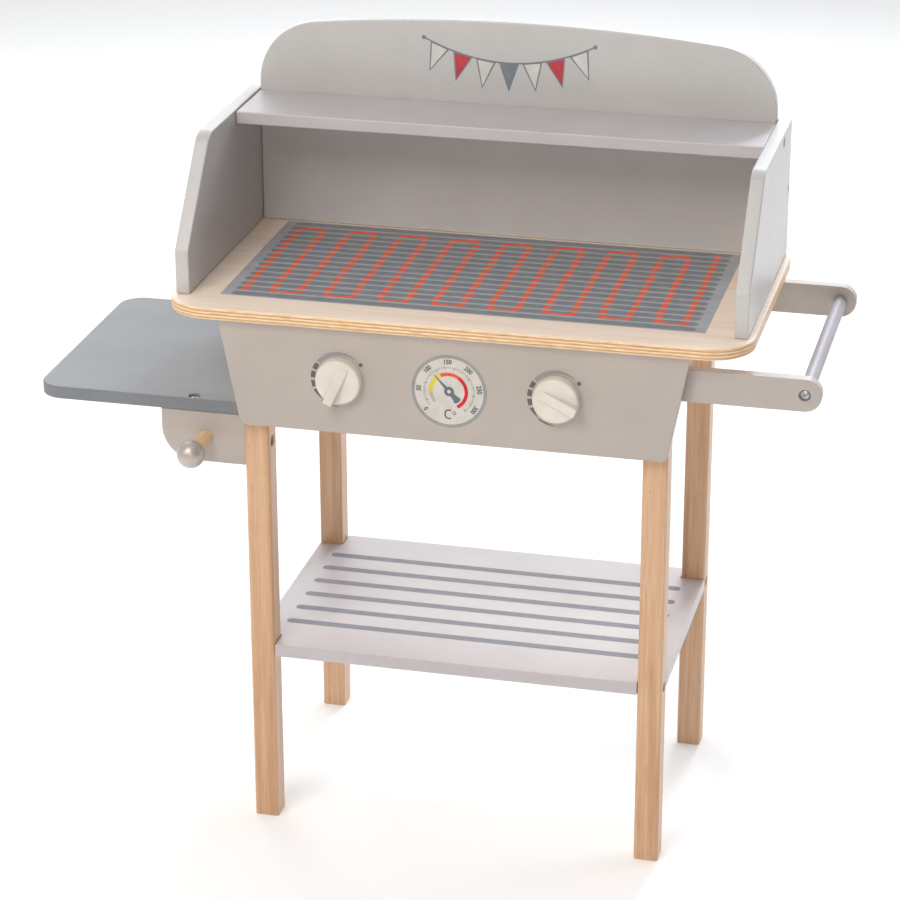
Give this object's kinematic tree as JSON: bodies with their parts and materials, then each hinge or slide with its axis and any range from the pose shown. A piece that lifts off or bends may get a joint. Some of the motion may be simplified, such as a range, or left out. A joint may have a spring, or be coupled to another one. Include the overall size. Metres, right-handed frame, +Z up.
{
  "type": "toy barbecue grill",
  "caption": "Wooden toy barbecue: legs, plywood worktop under an open hood, lower shelf, side table with a tool peg, round push handle, and a front panel with turning knobs.",
  "frame": {"origin": "the middle of the whole footprint, on the ground: side table, handle and peg included", "axes": "+Z up, -Y to the front with the knobs, +X to the side with the handle, -X to the side table"},
  "size_m": [0.7904, 0.3504, 0.793],
  "materials": {
    "leg_wood": "clear-lacquered pale hardwood",
    "plywood": "clear-lacquered plywood with a printed grate",
    "taupe_paint": "satin taupe paint",
    "silver_paint": "satin silver lacquer",
    "pale_silver_paint": "satin pale silver lacquer",
    "blue_grey_paint": "satin blue-grey paint",
    "silver_turned_wood": "silver lacquer on turned wood",
    "peg_wood": "clear-lacquered",
    "cream_plastic": "satin cream",
    "zinc_steel": "zinc-plated",
    "dowel_wood": "plain beech"
  },
  "bodies": {
    "grill": {"leg_front_left": "leg_wood", "leg_rear_left": "leg_wood", "leg_front_right": "leg_wood", "leg_rear_right": "leg_wood", "worktop": "plywood", "front_panel": "taupe_paint", "rear_panel": "taupe_paint", "table_bracket_front": "taupe_paint", "table_bracket_rear": "taupe_paint", "handle_arm_front": "taupe_paint", "handle_arm_rear": "taupe_paint", "hood_side_left": "silver_paint", "hood_side_right": "silver_paint", "hood_back": "silver_paint", "hood_shelf": "pale_silver_paint", "lower_shelf": "pale_silver_paint", "side_table": "blue_grey_paint", "handle_bar": "silver_turned_wood", "peg_ball": "silver_turned_wood", "tool_peg": "peg_wood", "shelf_screw_front_left": "zinc_steel", "shelf_screw_rear_left": "zinc_steel", "shelf_screw_front_right": "zinc_steel", "shelf_screw_rear_right": "zinc_steel", "panel_screw_front_left": "zinc_steel", "panel_screw_rear_left": "zinc_steel", "panel_screw_front_right": "zinc_steel", "panel_screw_rear_right": "zinc_steel", "table_screw_front": "zinc_steel", "table_screw_rear": "zinc_steel", "bracket_screw_front": "zinc_steel", "bracket_screw_rear": "zinc_steel", "arm_screw_front": "zinc_steel", "arm_screw_rear": "zinc_steel", "handle_screw_front": "zinc_steel", "handle_screw_rear": "zinc_steel", "hood_back_screw_left": "zinc_steel", "hood_back_screw_right": "zinc_steel", "hood_shelf_screw_left": "zinc_steel", "hood_shelf_screw_right": "zinc_steel", "hood_base_screw_front_left": "zinc_steel", "hood_base_screw_rear_left": "zinc_steel", "hood_base_screw_front_right": "zinc_steel", "hood_base_screw_rear_right": "zinc_steel", "knob_washer_left": "zinc_steel", "knob_washer_right": "zinc_steel", "leg_dowel_front_left": "dowel_wood", "leg_dowel_rear_left": "dowel_wood", "leg_dowel_front_right": "dowel_wood", "leg_dowel_rear_right": "dowel_wood"},
    "knob_left": {"knob_left": "cream_plastic", "knob_screw_left": "zinc_steel"},
    "knob_right": {"knob_right": "cream_plastic", "knob_screw_right": "zinc_steel"}
  },
  "joints": [
    {"name": "knob_left_turn", "type": "hinge", "parent": "grill", "child": "knob_left", "pos_m": [-0.07275, -0.13405, 0.5], "axis": [0, 1, 0], "continuous": true},
    {"name": "knob_right_turn", "type": "hinge", "parent": "grill", "child": "knob_right", "pos_m": [0.14325, -0.13405, 0.5], "axis": [0, 1, 0], "continuous": true}
  ]
}
